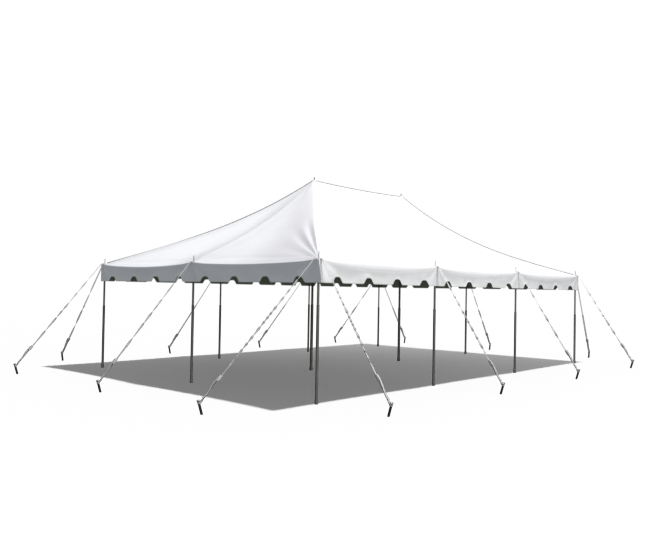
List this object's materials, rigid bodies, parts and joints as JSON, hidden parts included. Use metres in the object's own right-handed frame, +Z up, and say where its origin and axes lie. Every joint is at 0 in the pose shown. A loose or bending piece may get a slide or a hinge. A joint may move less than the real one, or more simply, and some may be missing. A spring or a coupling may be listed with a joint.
{
  "type": "marquee tent",
  "caption": "White pole marquee with two peaks, scalloped valance, pinned side poles, webbing guys with ratchets, and ground stakes.",
  "frame": {"origin": "on the ground, in the middle of the rectangle that the stakes take up", "axes": "+Z up, X along the ridge, -Y towards the front, metres"},
  "size_m": [12.793, 9.3058, 4.0473],
  "materials": {
    "white_cloth": "white vinyl coated polyester, satin",
    "pole_metal": "dark grey steel tube, satin and handled",
    "white_webbing": "flat woven polyester webbing",
    "ratchet_steel": "zinc plated pressed steel",
    "stake_steel": "dark forged steel bar, scuffed"
  },
  "bodies": {
    "root": {"canopy": "white_cloth", "valance_front": "white_cloth", "valance_back": "white_cloth", "valance_left": "white_cloth", "valance_right": "white_cloth", "centre_pole_left": "pole_metal", "centre_pole_right": "pole_metal", "side_pole_front_1": "pole_metal", "side_pole_front_2": "pole_metal", "side_pole_front_3": "pole_metal", "side_pole_front_4": "pole_metal", "side_pole_back_1": "pole_metal", "side_pole_back_2": "pole_metal", "side_pole_back_3": "pole_metal", "side_pole_back_4": "pole_metal", "side_pole_left_middle": "pole_metal", "side_pole_right_middle": "pole_metal", "guy_front_1": "white_webbing", "guy_front_2": "white_webbing", "guy_front_3": "white_webbing", "guy_front_4": "white_webbing", "guy_back_1": "white_webbing", "guy_back_2": "white_webbing", "guy_back_3": "white_webbing", "guy_back_4": "white_webbing", "guy_left_front": "white_webbing", "guy_left_middle": "white_webbing", "guy_left_back": "white_webbing", "guy_right_front": "white_webbing", "guy_right_middle": "white_webbing", "guy_right_back": "white_webbing", "stake_front_1": "stake_steel", "stake_front_2": "stake_steel", "stake_front_3": "stake_steel", "stake_front_4": "stake_steel", "stake_back_1": "stake_steel", "stake_back_2": "stake_steel", "stake_back_3": "stake_steel", "stake_back_4": "stake_steel", "stake_left_front": "stake_steel", "stake_left_middle": "stake_steel", "stake_left_back": "stake_steel", "stake_right_front": "stake_steel", "stake_right_middle": "stake_steel", "stake_right_back": "stake_steel"}
  },
  "joints": []
}
